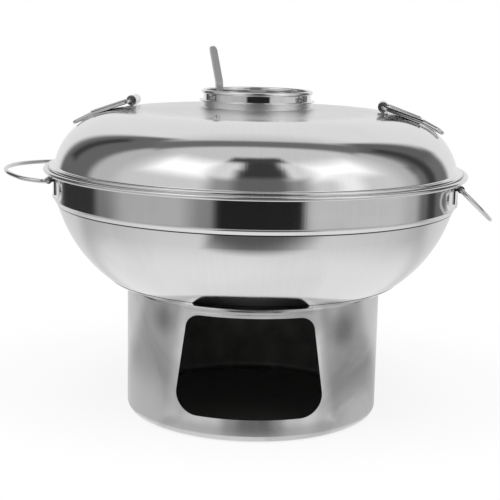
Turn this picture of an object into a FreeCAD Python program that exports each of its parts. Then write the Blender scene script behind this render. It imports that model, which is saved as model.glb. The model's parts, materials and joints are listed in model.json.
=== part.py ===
import FreeCAD, Part
import math
import os

# Chimney hot pot in stainless steel. Millimetres, Z up, the window of the stove base faces -Y.
# The table is at z = 0 and the middle axis of the pot is the Z axis.

# Sheets, wires and clearances
SHEET = 0.8
STRAP = 1.0
EAR_WIRE = 3.0
LID_WIRE = 2.6
RUNNING_FIT = 0.05
LOOSE_GAP = 0.4

# Stove base
BASE_RADIUS = 94.0
BASE_TOP = 100.0
BASE_FOOT_ROUND = 5.0
BASE_SHOULDER_ROUND = 7.0
BASE_FLANGE_WIDTH = 14.0
ASH_FLOOR_RADIUS = BASE_RADIUS - 10.0
WINDOW_TOP = BASE_TOP - 11.0
WINDOW_BOTTOM = 17.0
WINDOW_TOP_HALF = 43.3
WINDOW_BOTTOM_HALF = 53.2
WINDOW_TOP_ROUND = 10.0
WINDOW_BOTTOM_ROUND = 15.0
WINDOW_LIP_WIDTH = 2.0
WINDOW_LIP_HEIGHT = 0.7

# Pot bowl: the wall's heights are measured up from the top of the base
BAND_RADIUS = 147.5
BOWL_CORNER_RADIUS = BASE_RADIUS + 13.0
BOWL_CORNER_ROUND = 2.5
WALL_BEND = (BAND_RADIUS - 17.0, BASE_TOP + 15.2)
WALL_ROUND = 98.0
WALL_TOP = (BAND_RADIUS - 1.6, BASE_TOP + 56.2)
BAND_START = BASE_TOP + 58.4
BAND_STEP_ROUND = 3.5
RIM_TOP = BASE_TOP + 81.3
RIM_FLANGE_TOP = RIM_TOP - 0.9
RIM_WIDTH = 5.9
RIM_BEAD = 1.6
RIM_ROUND = 1.2
RIM_BEAD_RADIUS = BAND_RADIUS + RIM_WIDTH

# Chimney and grate
CHIMNEY_TOP_RADIUS = 37.0
CHIMNEY_BOTTOM_RADIUS = 53.2
CHIMNEY_FOOT_WIDTH = 10.8
CHIMNEY_FOOT_ROUND = 2.0
CHIMNEY_TAPER_ROUND = 60.0
CHIMNEY_TAPER_TOP = BASE_TOP + 78.0
GRATE_RADIUS = CHIMNEY_BOTTOM_RADIUS + 6.8
GRATE_UNDER_BOWL = 7.2
GRATE_THICKNESS = 1.5
GRATE_HOLE = 7.0
GRATE_PITCH = 13.0
GRATE_HOLE_RINGS = 3
HOLES_MORE_PER_RING = 6
CLIP_COUNT = 4
CLIP_WIDTH = 12.0
CLIP_LEDGE = 6.0

# Lid: its hem rests on the bowl's flange, inside the rim bead
BRIM_RADIUS = RIM_BEAD_RADIUS - RIM_BEAD - 2.0 * LOOSE_GAP
BRIM_TOP = RIM_FLANGE_TOP + 2.7
SKIRT_RADIUS = BAND_RADIUS - SHEET - 0.5
SKIRT_BOTTOM = RIM_FLANGE_TOP - 3.4
DOME_FOOT_RADIUS = BAND_RADIUS - 0.3
DOME_SHOULDER = (BAND_RADIUS - 6.0, RIM_TOP + 23.54)
DOME_CROWN = (BAND_RADIUS - 37.2, RIM_TOP + 40.8)
DOME_SHOULDER_ROUND = 45.0
DOME_CROWN_ROUND = 66.0
NECK_RADIUS = CHIMNEY_TOP_RADIUS + 2.0 * SHEET + 0.6
NECK_FOOT = DOME_CROWN[1] + 2.9
NECK_TOP = NECK_FOOT + 4.5
CHIMNEY_TOP = NECK_TOP - 0.8
VENT_HOLE = 2.6
VENT_COLLAR = 4.4
VENT_COLLAR_HEIGHT = 1.3
VENT_RADIUS = DOME_CROWN[0] - 30.0
VENT_ANGLE = -108.7
LID_TURN = -4.5

# Damper cup that closes the chimney, and its strip handle
CUP_LOWER_RADIUS = CHIMNEY_TOP_RADIUS - LOOSE_GAP
CUP_FLOOR = NECK_TOP - 8.5
CUP_LIP_WIDTH = 3.0
CUP_RADIUS = NECK_RADIUS - 0.1
CUP_TOP = NECK_TOP + 8.2
CUP_BEAD = 1.4
CUP_BEAD_RADIUS = CUP_RADIUS + 0.1
STRIP_ANGLE = 142.0
STRIP_WIDTH = 7.4
STRIP_THICKNESS = 1.3
STRIP_INSET = 0.9
STRIP_FOOT = NECK_TOP + 1.6
STRIP_FOOT_HEIGHT = 3.2
STRIP_BEND = CUP_TOP + 3.3
STRIP_TOP = CUP_TOP + 30.3
STRIP_LEAN = 7.2
STRIP_BEND_ROUND = 14.0

# Ears of the pot
EAR_PIVOT_X = BAND_RADIUS - 2.9
EAR_PIVOT_Z = RIM_TOP - 7.1
EAR_KNUCKLE_Y = 47.5
EAR_KNUCKLE_WIDTH = 4.5
EAR_PLATE_BOTTOM = RIM_TOP - 21.3
EAR_PLATE_TOP = RIM_TOP - 4.8
EAR_PLATE_HALF = 63.5
EAR_PLATE_RIDGE = 0.35
EAR_RIDGE_WIDTH = 1.2
EAR_TAB_LENGTH = 11.5
RING_INNER_END = 2.2
RING_CORNER = 9.5
RING_ARM = (16.7, 54.5)
RING_APEX = 55.1
RING_CORNER_ROUND = 3.8
RING_ARM_ROUND = 24.0
RING_APEX_ROUND = 70.0
LEFT_RING_RAISED = 4.0
RIGHT_RING_HANGING = 43.4

# Lid handles, measured from their hinge line outwards
BRACKET_BARREL = 3.7
BRACKET_BARREL_HALF = 9.0
BRACKET_MOUTH = 2.9
BRACKET_MOUTH_DEPTH = 2.0
BRACKET_WEB = 2.4
BRACKET_WEB_HALF = 6.5
BRACKET_FOOT_HALF = 9.0
BRACKET_FOOT_INNER = 3.7
BRACKET_FOOT_OUTER = 3.7
HANDLE_PIVOT_RADIUS = DOME_CROWN[0] - 18.6
HANDLE_PIVOT_HEIGHT = BRACKET_BARREL + 1.5
HANDLE_SLOPE = 19.5
HANDLE_ARM_Y = 17.0
HANDLE_NECK = (30.8, 12.4)
HANDLE_TIP = (46.5, 9.7)
HANDLE_TIP_DROP = 2.0
HANDLE_TIP_ROUND = 5.0
HANDLE_NECK_ROUND = 12.0
HANDLE_PIN_END_Y = 1.5
HANDLE_CORNER_ROUND = 3.0
GRIP_HALF_INNER = 21.0
GRIP_HALF_OUTER = 14.6
GRIP_LENGTH = 30.3
GRIP_SHEET = 0.8

ORIGIN = FreeCAD.Vector(0, 0, 0)
UP = FreeCAD.Vector(0, 0, 1)
ALONG_Y = FreeCAD.Vector(0, 1, 0)


def at(radius, z):
    """A point in the half plane that is turned about the Z axis."""
    return FreeCAD.Vector(radius, 0, z)


def unit(vector):
    return vector * (1.0 / vector.Length)


def rounded_edges(points, radii):
    """Straight lines through the points, with each inner corner rounded by its radius."""
    edges = []
    start = points[0]
    for index, radius in enumerate(radii):
        corner = points[index + 1]
        back = unit(points[index] - corner)
        ahead = unit(points[index + 2] - corner)
        half = back.getAngle(ahead) / 2.0
        if radius <= 0:
            edges.append(Part.makeLine(start, corner))
            start = corner
            continue
        setback = radius / math.tan(half)
        bend_start = corner + back * setback
        bend_end = corner + ahead * setback
        inward = unit(back + ahead)
        bend_middle = corner + inward * (radius / math.sin(half) - radius)
        if (bend_start - start).Length > 1e-6:
            edges.append(Part.makeLine(start, bend_start))
        edges.append(Part.Arc(bend_start, bend_middle, bend_end).toShape())
        start = bend_end
    edges.append(Part.makeLine(start, points[-1]))
    return edges


def sheet_face(points, radii, thickness):
    """Section of a bent sheet: the given side runs through the points, the other lies to its left."""
    runs = [unit(points[i + 1] - points[i]) for i in range(len(points) - 1)]
    sides = [FreeCAD.Vector(-run.z, 0, run.x) for run in runs]
    other = [points[0] + sides[0] * thickness]
    other_radii = []
    for index, radius in enumerate(radii):
        before = sides[index]
        after = sides[index + 1]
        miter = (before + after) * (thickness / (1.0 + before.dot(after)))
        other.append(points[index + 1] + miter)
        left_turn = runs[index].x * runs[index + 1].z - runs[index].z * runs[index + 1].x > 0
        other_radii.append(max(radius - thickness, 0.0) if left_turn else radius + thickness)
    other.append(points[-1] + sides[-1] * thickness)
    edges = rounded_edges(points, radii)
    edges.append(Part.makeLine(points[-1], other[-1]))
    edges += rounded_edges(other[::-1], other_radii[::-1])
    edges.append(Part.makeLine(other[0], points[0]))
    return Part.Face(Part.Wire(Part.__sortEdges__(edges)))


def turned_sheet(points, radii, thickness=SHEET):
    return sheet_face(points, radii, thickness).revolve(ORIGIN, UP, 360)


def ring_bead(radius, z, bead_radius):
    return Part.makeTorus(radius, bead_radius, FreeCAD.Vector(0, 0, z), UP)


def bent_wire(points, radii, diameter):
    """A round wire that follows the points."""
    path = Part.Wire(rounded_edges(points, radii))
    start = Part.Circle(points[0], points[1] - points[0], diameter / 2.0).toShape()
    return path.makePipeShell([Part.Wire([start])], True, True)


def joined(shapes):
    first = shapes[0]
    return first.fuse(shapes[1:]).removeSplitter()


def extruded_y(face, middle, width):
    """A flat section in the XZ plane carried along Y, with its width shared about the middle."""
    solid = face.extrude(FreeCAD.Vector(0, width, 0))
    solid.translate(FreeCAD.Vector(0, middle - width / 2.0, 0))
    return solid


def tube_y(x, y, z, outer, inner, width):
    base = FreeCAD.Vector(x, y - width / 2.0, z)
    body = Part.makeCylinder(outer, width, base, ALONG_Y)
    return body.cut(Part.makeCylinder(inner, width, base, ALONG_Y))


def window_prism(grow, depth):
    """The window's rounded outline, grown on all sides, carried from the axis out to the front."""
    corners = [
        (-WINDOW_BOTTOM_HALF - grow, WINDOW_BOTTOM - grow, WINDOW_BOTTOM_ROUND + grow),
        (WINDOW_BOTTOM_HALF + grow, WINDOW_BOTTOM - grow, WINDOW_BOTTOM_ROUND + grow),
        (WINDOW_TOP_HALF + grow, WINDOW_TOP + grow, WINDOW_TOP_ROUND + grow),
        (-WINDOW_TOP_HALF - grow, WINDOW_TOP + grow, WINDOW_TOP_ROUND + grow),
    ]
    start = FreeCAD.Vector(0, 0, WINDOW_BOTTOM - grow)
    points = [start] + [FreeCAD.Vector(x, 0, z) for x, z, _ in corners[1:]]
    points += [FreeCAD.Vector(corners[0][0], 0, corners[0][1]), start]
    radii = [corner[2] for corner in corners[1:]] + [corners[0][2]]
    outline = Part.Wire(rounded_edges(points, radii))
    return Part.Face(outline).extrude(FreeCAD.Vector(0, -depth, 0))


def make_stove_base():
    """The can's wall with its window; foot and shoulder are turned in as flanges."""
    shell = turned_sheet(
        [
            at(ASH_FLOOR_RADIUS, 0),
            at(BASE_RADIUS, 0),
            at(BASE_RADIUS, BASE_TOP),
            at(BASE_RADIUS - BASE_FLANGE_WIDTH, BASE_TOP),
        ],
        [BASE_FOOT_ROUND, BASE_SHOULDER_ROUND],
    )
    reach = 2.0 * BASE_RADIUS
    lip_outer = Part.makeCylinder(BASE_RADIUS + WINDOW_LIP_HEIGHT, BASE_TOP)
    lip_inner = Part.makeCylinder(BASE_RADIUS - SHEET, BASE_TOP)
    lip = lip_outer.cut(lip_inner).common(window_prism(WINDOW_LIP_WIDTH, reach))
    return joined([shell, lip]).cut(window_prism(0.0, reach))


def make_ash_floor():
    """The round bottom, welded edge to edge inside the base's foot flange."""
    return Part.makeCylinder(ASH_FLOOR_RADIUS, SHEET)


def make_pot_bowl():
    flange_under = RIM_FLANGE_TOP - SHEET
    shell = turned_sheet(
        [
            at(CHIMNEY_BOTTOM_RADIUS, BASE_TOP),
            at(BOWL_CORNER_RADIUS, BASE_TOP),
            at(*WALL_BEND),
            at(*WALL_TOP),
            at(BAND_RADIUS, BAND_START),
            at(BAND_RADIUS, flange_under),
            at(RIM_BEAD_RADIUS, flange_under),
        ],
        [BOWL_CORNER_ROUND, WALL_ROUND, 0, BAND_STEP_ROUND, RIM_ROUND],
    )
    return joined([shell, ring_bead(RIM_BEAD_RADIUS, RIM_TOP - RIM_BEAD, RIM_BEAD)])


def make_chimney_tube():
    floor = BASE_TOP + SHEET
    return turned_sheet(
        [
            at(CHIMNEY_BOTTOM_RADIUS + CHIMNEY_FOOT_WIDTH, floor),
            at(CHIMNEY_BOTTOM_RADIUS, floor),
            at(CHIMNEY_TOP_RADIUS, CHIMNEY_TAPER_TOP),
            at(CHIMNEY_TOP_RADIUS, CHIMNEY_TOP),
        ],
        [CHIMNEY_FOOT_ROUND, CHIMNEY_TAPER_ROUND],
        -SHEET,
    )


def make_charcoal_grate():
    under = BASE_TOP - GRATE_UNDER_BOWL
    plate = Part.makeCylinder(GRATE_RADIUS, GRATE_THICKNESS, FreeCAD.Vector(0, 0, under))
    hole = Part.makeCylinder(GRATE_HOLE / 2.0, GRATE_THICKNESS, FreeCAD.Vector(0, 0, under))
    holes = [hole]
    for ring in range(1, GRATE_HOLE_RINGS + 1):
        count = ring * HOLES_MORE_PER_RING
        for index in range(count):
            copy = hole.copy()
            copy.translate(FreeCAD.Vector(ring * GRATE_PITCH, 0, 0))
            copy.rotate(ORIGIN, UP, 360.0 / count * index)
            holes.append(copy)
    return plate.cut(holes)


def make_grate_clips():
    """L-shaped clips welded under the bowl; the grate lies on their ledges."""
    ledge_under = BASE_TOP - GRATE_UNDER_BOWL - SHEET
    back = GRATE_RADIUS + LOOSE_GAP + SHEET
    section = sheet_face(
        [
            at(back - SHEET - CLIP_LEDGE, ledge_under),
            at(back, ledge_under),
            at(back, BASE_TOP - SHEET),
            at(back + CLIP_LEDGE, BASE_TOP - SHEET),
        ],
        [SHEET, 0],
        SHEET,
    )
    clip = extruded_y(section, 0, CLIP_WIDTH)
    clips = []
    for index in range(CLIP_COUNT):
        copy = clip.copy()
        copy.rotate(ORIGIN, UP, 360.0 / CLIP_COUNT * (index + 0.5))
        clips.append(copy)
    return Part.makeCompound(clips)


def dome_height(radius):
    """Height of the lid's outer face on the straight slope between the crown and the neck."""
    slope = (NECK_FOOT - DOME_CROWN[1]) / (DOME_CROWN[0] - NECK_RADIUS)
    return DOME_CROWN[1] + slope * (DOME_CROWN[0] - radius)


HANDLE_PIVOT_Z = dome_height(HANDLE_PIVOT_RADIUS) + HANDLE_PIVOT_HEIGHT


def make_lid_dome():
    dome = turned_sheet(
        [
            at(SKIRT_RADIUS, SKIRT_BOTTOM),
            at(SKIRT_RADIUS, RIM_FLANGE_TOP),
            at(BRIM_RADIUS, RIM_FLANGE_TOP),
            at(BRIM_RADIUS, BRIM_TOP),
            at(DOME_FOOT_RADIUS, BRIM_TOP),
            at(*DOME_SHOULDER),
            at(*DOME_CROWN),
            at(NECK_RADIUS, NECK_FOOT),
            at(NECK_RADIUS, NECK_TOP),
        ],
        [0.3, 0.95, 0.95, 0.8, DOME_SHOULDER_ROUND, DOME_CROWN_ROUND, 0.8],
    )
    surface = dome_height(VENT_RADIUS)
    collar_start = FreeCAD.Vector(VENT_RADIUS, 0, surface - SHEET / 2.0)
    collar = Part.makeCylinder(VENT_COLLAR / 2.0, VENT_COLLAR_HEIGHT + SHEET / 2.0, collar_start)
    collar.rotate(ORIGIN, UP, VENT_ANGLE)
    vent = Part.makeCylinder(VENT_HOLE / 2.0, NECK_TOP, FreeCAD.Vector(VENT_RADIUS, 0, RIM_TOP))
    vent.rotate(ORIGIN, UP, VENT_ANGLE)
    return joined([dome, collar]).cut(vent)


def make_damper_cup():
    """One drawn cup: it hangs in the chimney by a folded lip that rests on the lid's neck."""
    lower = turned_sheet(
        [
            at(0, CUP_FLOOR),
            at(CUP_LOWER_RADIUS, CUP_FLOOR),
            at(CUP_LOWER_RADIUS, NECK_TOP),
            at(NECK_RADIUS + CUP_LIP_WIDTH, NECK_TOP),
        ],
        [2.0, 0],
    )
    bead_z = CUP_TOP - CUP_BEAD
    wall = turned_sheet([at(CUP_RADIUS, NECK_TOP), at(CUP_RADIUS, bead_z)], [])
    return joined([lower, wall, ring_bead(CUP_BEAD_RADIUS, bead_z, CUP_BEAD)])


def make_damper_handle():
    """A flat strip welded inside the cup's wall, leaning out above the rim."""
    wall_inside = CUP_RADIUS - SHEET
    face = wall_inside - STRIP_INSET
    half = STRIP_WIDTH / 2.0
    section = sheet_face(
        [at(face, STRIP_FOOT), at(face, STRIP_BEND), at(face + STRIP_LEAN, STRIP_TOP)],
        [STRIP_BEND_ROUND],
        STRIP_THICKNESS,
    )
    strip = extruded_y(section, 0, STRIP_WIDTH)
    blank = Part.makeBox(2.0 * wall_inside, STRIP_WIDTH, STRIP_TOP, FreeCAD.Vector(0, -half, 0))
    tip_edges = []
    for edge in blank.Edges:
        box = edge.BoundBox
        if box.XLength > wall_inside and box.ZMin > STRIP_FOOT:
            tip_edges.append(edge)
    strip = strip.common(blank.makeFillet(0.95 * half, tip_edges))
    start = FreeCAD.Vector(face - STRIP_THICKNESS / 2.0, -half, STRIP_FOOT)
    foot = Part.makeBox(wall_inside - face + STRIP_THICKNESS, STRIP_WIDTH, STRIP_FOOT_HEIGHT, start)
    foot = foot.common(Part.makeCylinder(wall_inside, CUP_TOP))
    strip = joined([strip, foot])
    strip.rotate(ORIGIN, UP, STRIP_ANGLE)
    return strip


def stadium_prism(inset):
    """The rounded outline of an ear plate, carried along X."""
    bottom = EAR_PLATE_BOTTOM + inset
    height = EAR_PLATE_TOP - EAR_PLATE_BOTTOM - 2.0 * inset
    half = EAR_PLATE_HALF - inset
    depth = BAND_RADIUS / 2.0
    box = Part.makeBox(depth, 2.0 * half, height, FreeCAD.Vector(BAND_RADIUS - depth / 1.5, -half, bottom))
    edges = []
    for edge in box.Edges:
        if edge.BoundBox.XLength > depth / 2.0:
            edges.append(edge)
    return box.makeFillet(0.499 * height, edges)


def band_layer(inner, outer):
    height = EAR_PLATE_TOP - EAR_PLATE_BOTTOM
    base = FreeCAD.Vector(0, 0, EAR_PLATE_BOTTOM)
    return Part.makeCylinder(outer, height, base).cut(Part.makeCylinder(inner, height, base))


def make_ear_plate():
    """A strip wrapped on the band, with a raised ridge along its edge."""
    skin = BAND_RADIUS + SHEET
    plate = band_layer(BAND_RADIUS, skin).common(stadium_prism(0))
    ridge = band_layer(BAND_RADIUS, skin + EAR_PLATE_RIDGE)
    ridge = ridge.common(stadium_prism(0)).cut(stadium_prism(EAR_RIDGE_WIDTH))
    return joined([plate, ridge])


def make_ear_strap(side):
    """A strap welded on the ear plate and curled out round the ring handle's pin."""
    middle = side * EAR_KNUCKLE_Y
    bore = EAR_WIRE / 2.0 + RUNNING_FIT
    skin = BAND_RADIUS + SHEET
    curl = tube_y(EAR_PIVOT_X, middle, EAR_PIVOT_Z, bore + STRAP, bore, EAR_KNUCKLE_WIDTH)
    top = EAR_PIVOT_Z + STRAP
    edge = middle - EAR_KNUCKLE_WIDTH / 2.0
    web = Part.makeBox(EAR_PIVOT_X, EAR_KNUCKLE_WIDTH, 2.0 * STRAP, FreeCAD.Vector(0, edge, top - 2.0 * STRAP))
    tab_start = FreeCAD.Vector(0, edge, top - EAR_TAB_LENGTH)
    tab = Part.makeBox(2.0 * BAND_RADIUS, EAR_KNUCKLE_WIDTH, EAR_TAB_LENGTH, tab_start)
    tab = tab.common(Part.makeCylinder(skin + STRAP, RIM_TOP))
    strap = joined([curl, web, tab]).cut(Part.makeCylinder(skin, RIM_TOP))
    bore_start = FreeCAD.Vector(EAR_PIVOT_X, edge, EAR_PIVOT_Z)
    return strap.cut(Part.makeCylinder(bore, EAR_KNUCKLE_WIDTH, bore_start, ALONG_Y))


def make_ring_handle():
    """A bent wire bail lying level, on the +X side."""
    half = [
        (0, EAR_KNUCKLE_Y - RING_INNER_END),
        (0, EAR_KNUCKLE_Y + RING_CORNER),
        RING_ARM,
    ]
    points = [FreeCAD.Vector(EAR_PIVOT_X + out, -y, EAR_PIVOT_Z) for out, y in half]
    points.append(FreeCAD.Vector(EAR_PIVOT_X + RING_APEX, 0, EAR_PIVOT_Z))
    points += [FreeCAD.Vector(EAR_PIVOT_X + out, y, EAR_PIVOT_Z) for out, y in half[::-1]]
    radii = [RING_CORNER_ROUND, RING_ARM_ROUND, RING_APEX_ROUND, RING_ARM_ROUND, RING_CORNER_ROUND]
    return bent_wire(points, radii, EAR_WIRE)


def on_left(shape):
    return shape.mirror(ORIGIN, FreeCAD.Vector(1, 0, 0))


def tilted(shape, pivot_x, pivot_z, down):
    """Turn a handle on the +X side about its hinge line; positive angles lower its tip."""
    copy = shape.copy()
    copy.rotate(FreeCAD.Vector(pivot_x, 0, pivot_z), ALONG_Y, down)
    return copy


def on_lid(shape, side_angle):
    """Place a part made on the +X side at its place on the lid."""
    copy = shape.copy()
    copy.rotate(ORIGIN, UP, side_angle + LID_TURN)
    return copy


def make_lid_bracket():
    """A barrel on a small foot welded on the lid; it holds the two pins of a lid handle."""
    length = 2.0 * BRACKET_BARREL_HALF
    bore = LID_WIRE / 2.0 + RUNNING_FIT
    barrel = tube_y(HANDLE_PIVOT_RADIUS, 0, HANDLE_PIVOT_Z, BRACKET_BARREL, bore, length)
    foot_start = FreeCAD.Vector(HANDLE_PIVOT_RADIUS - BRACKET_FOOT_INNER, -BRACKET_FOOT_HALF, 0)
    foot_length = BRACKET_FOOT_INNER + BRACKET_FOOT_OUTER
    foot = Part.makeBox(foot_length, 2.0 * BRACKET_FOOT_HALF, NECK_TOP, foot_start)
    outline = [at(*DOME_SHOULDER), at(*DOME_CROWN), at(NECK_RADIUS, NECK_FOOT)]
    foot = foot.common(turned_sheet(outline, [DOME_CROWN_ROUND], -SHEET))
    web_start = FreeCAD.Vector(
        HANDLE_PIVOT_RADIUS - BRACKET_WEB / 2.0,
        -BRACKET_WEB_HALF,
        dome_height(HANDLE_PIVOT_RADIUS) + SHEET / 2.0,
    )
    web_height = HANDLE_PIVOT_Z - bore - web_start.z
    web = Part.makeBox(BRACKET_WEB, 2.0 * BRACKET_WEB_HALF, web_height, web_start)
    bracket = joined([barrel, foot, web])
    for side in (-1, 1):
        middle = side * BRACKET_BARREL_HALF
        mouth_width = 2.0 * BRACKET_MOUTH_DEPTH
        start = FreeCAD.Vector(HANDLE_PIVOT_RADIUS, middle - mouth_width / 2.0, HANDLE_PIVOT_Z)
        bracket = bracket.cut(Part.makeCylinder(BRACKET_MOUTH, mouth_width, start, ALONG_Y))
    start = FreeCAD.Vector(HANDLE_PIVOT_RADIUS, -BRACKET_BARREL_HALF, HANDLE_PIVOT_Z)
    return bracket.cut(Part.makeCylinder(bore, length, start, ALONG_Y))


def make_lid_loop():
    """The wire loop of a lid handle, lying level; its two pins point at each other."""
    half = [
        (0.0, HANDLE_PIN_END_Y, 0.0),
        (0.0, HANDLE_ARM_Y, 0.0),
        (HANDLE_NECK[0], HANDLE_NECK[1], 0.0),
        (HANDLE_TIP[0], HANDLE_TIP[1], -HANDLE_TIP_DROP),
    ]
    points = []
    for out, y, drop in half:
        points.append(FreeCAD.Vector(HANDLE_PIVOT_RADIUS + out, -y, HANDLE_PIVOT_Z + drop))
    for out, y, drop in half[::-1]:
        points.append(FreeCAD.Vector(HANDLE_PIVOT_RADIUS + out, y, HANDLE_PIVOT_Z + drop))
    radii = [HANDLE_CORNER_ROUND, HANDLE_NECK_ROUND, HANDLE_TIP_ROUND]
    return bent_wire(points, radii + radii[::-1], LID_WIRE)


def make_lid_grip():
    """The sheet panel welded on the loop, rolled round its pins on both sides of the barrel."""
    under = HANDLE_PIVOT_Z + LID_WIRE / 2.0
    inner_x = HANDLE_PIVOT_RADIUS
    outer_x = HANDLE_PIVOT_RADIUS + GRIP_LENGTH
    corners = [
        FreeCAD.Vector(inner_x, -GRIP_HALF_INNER, under),
        FreeCAD.Vector(outer_x, -GRIP_HALF_OUTER, under),
        FreeCAD.Vector(outer_x, GRIP_HALF_OUTER, under),
        FreeCAD.Vector(inner_x, GRIP_HALF_INNER, under),
    ]
    outline = Part.makePolygon(corners + corners[:1])
    panel = Part.Face(outline).extrude(FreeCAD.Vector(0, 0, GRIP_SHEET))
    inside = BRACKET_BARREL_HALF + LOOSE_GAP
    start = FreeCAD.Vector(inner_x, -inside, under)
    notch = Part.makeBox(BRACKET_BARREL + LOOSE_GAP, 2.0 * inside, GRIP_SHEET, start)
    panel = panel.cut(notch)
    wire = LID_WIRE / 2.0
    width = HANDLE_ARM_Y - HANDLE_CORNER_ROUND - inside
    rolls = []
    for side in (-1, 1):
        middle = side * (inside + width / 2.0)
        rolls.append(tube_y(inner_x, middle, HANDLE_PIVOT_Z, wire + GRIP_SHEET, wire, width))
    return joined([panel] + rolls)


def place_handle(shape):
    return tilted(shape, HANDLE_PIVOT_RADIUS, HANDLE_PIVOT_Z, HANDLE_SLOPE)


def main():
    os.makedirs("parts", exist_ok=True)
    ring = make_ring_handle()
    plate = make_ear_plate()
    loop = place_handle(make_lid_loop())
    grip = place_handle(make_lid_grip())
    bracket = make_lid_bracket()
    pieces = {
        "stove_base": make_stove_base(),
        "ash_floor": make_ash_floor(),
        "pot_bowl": make_pot_bowl(),
        "chimney_tube": make_chimney_tube(),
        "charcoal_grate": make_charcoal_grate(),
        "grate_clips": make_grate_clips(),
        "right_ear_plate": plate,
        "left_ear_plate": on_left(plate),
        "right_ring_handle": tilted(ring, EAR_PIVOT_X, EAR_PIVOT_Z, RIGHT_RING_HANGING),
        "left_ring_handle": on_left(tilted(ring, EAR_PIVOT_X, EAR_PIVOT_Z, -LEFT_RING_RAISED)),
        "lid_dome": make_lid_dome(),
        "damper_cup": make_damper_cup(),
        "damper_handle": make_damper_handle(),
    }
    for name, side in (("front", -1), ("rear", 1)):
        strap = make_ear_strap(side)
        pieces["right_%s_ear_strap" % name] = strap
        pieces["left_%s_ear_strap" % name] = on_left(strap)
    for name, side_angle in (("right", 0), ("left", 180)):
        pieces[name + "_lid_bracket"] = on_lid(bracket, side_angle)
        pieces[name + "_lid_loop"] = on_lid(loop, side_angle)
        pieces[name + "_lid_grip"] = on_lid(grip, side_angle)
    for name, shape in pieces.items():
        if not shape.isValid():
            raise ValueError(name + " is not a valid solid")
        box = shape.BoundBox
        print(name, len(shape.Solids), round(shape.Volume), end=" ")
        print([round(v, 2) for v in (box.XMin, box.XMax, box.YMin, box.YMax, box.ZMin, box.ZMax)])
        shape.exportStep("parts/" + name + ".step")


main()
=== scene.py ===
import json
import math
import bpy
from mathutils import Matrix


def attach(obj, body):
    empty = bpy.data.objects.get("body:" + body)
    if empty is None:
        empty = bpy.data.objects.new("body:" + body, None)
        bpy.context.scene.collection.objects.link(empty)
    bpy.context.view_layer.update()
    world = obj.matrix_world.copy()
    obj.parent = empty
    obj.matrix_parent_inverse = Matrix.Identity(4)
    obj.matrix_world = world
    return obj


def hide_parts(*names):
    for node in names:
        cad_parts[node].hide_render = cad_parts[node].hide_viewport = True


bl_info = {
    "name": "Chimney Hot Pot",
    "version": (1, 0, 0),
    "blender": (4, 5, 0),
    "location": "View3D > Sidebar > Hot Pot",
    "description": "Dresses the packed frame of a stainless steel chimney hot pot",
    "category": "Object",
}

import bmesh
import bpy
from mathutils import Matrix, Vector

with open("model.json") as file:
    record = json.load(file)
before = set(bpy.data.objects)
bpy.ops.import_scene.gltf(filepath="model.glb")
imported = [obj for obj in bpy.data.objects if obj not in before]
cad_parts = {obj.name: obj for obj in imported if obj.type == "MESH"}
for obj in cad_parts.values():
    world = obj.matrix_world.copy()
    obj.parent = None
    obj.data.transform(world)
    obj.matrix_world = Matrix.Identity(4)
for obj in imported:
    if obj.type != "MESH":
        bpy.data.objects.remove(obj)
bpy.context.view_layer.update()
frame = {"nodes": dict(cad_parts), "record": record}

MM = 0.001
SHEET = 0.8 * MM
WHITE = (1.0, 1.0, 1.0, 1.0)

# The steam vent: where it stands on the lid, how far the lid slopes there, and the radius of the
# painted shade that stands for its hole. Lengths are in millimetres.
VENT_RADIUS = 80.3
VENT_TURN = math.radians(-108.7)
VENT_LEAN = math.radians(6.0)
VENT_HEIGHT = 223.6
VENT_FOOT = (VENT_RADIUS * math.cos(VENT_TURN), VENT_RADIUS * math.sin(VENT_TURN), VENT_HEIGHT)
VENT_MOUTH = (VENT_FOOT[0], VENT_FOOT[1], VENT_HEIGHT + 0.4)
VENT_HOLE_SHADE = 1.75


# Settings that a user would change

def length_setting(name, description, metres):
    return bpy.props.FloatProperty(
        name=name, description=description, default=metres, unit="LENGTH"
    )


def angle_setting(name, description, degrees):
    return bpy.props.FloatProperty(
        name=name, description=description, default=math.radians(degrees), subtype="ANGLE"
    )


def steps_setting(name, description, steps, fewest, most):
    return bpy.props.IntProperty(
        name=name, description=description, default=steps, min=fewest, max=most
    )


def colour_setting(name, description, *colour):
    return bpy.props.FloatVectorProperty(
        name=name, description=description, subtype="COLOR", default=colour, min=0.0, max=1.0
    )


class HotPotSizes(bpy.types.PropertyGroup):
    """Sizes that the dressed pieces share."""

    turn_steps: steps_setting(
        "Steps round a turned piece", "How many facets go round bowl, lid and cup", 240, 48, 360
    )
    wire_steps: steps_setting(
        "Steps round a wire", "How many facets go round the handle wires", 20, 8, 48
    )
    ring_wire: length_setting("Ring handle wire", "Diameter of the ring handles' wire", 3.0 * MM)
    loop_wire: length_setting("Lid loop wire", "Diameter of the lid loops' wire", 2.6 * MM)


class HotPotFinishes(bpy.types.PropertyGroup):
    """Colours of the steel."""

    bowl_colour: colour_setting("Bowl steel", "Colour of the polished bowl", 0.74, 0.74, 0.74)
    lid_colour: colour_setting("Lid steel", "Colour of the polished lid", 0.80, 0.80, 0.80)
    base_colour: colour_setting("Base steel", "Colour of the satin stove base", 0.62, 0.62, 0.62)
    wire_colour: colour_setting("Wire steel", "Colour of wires and straps", 0.66, 0.66, 0.66)
    flue_colour: colour_setting("Flue steel", "Colour of the sooted flue", 0.30, 0.29, 0.28)
    # Soot colour that also paints the shade inside the stove
    soot_and_shade_colour: colour_setting("Soot", "Colour of smoked steel in the stove", 0.34, 0.335, 0.33)


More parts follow.
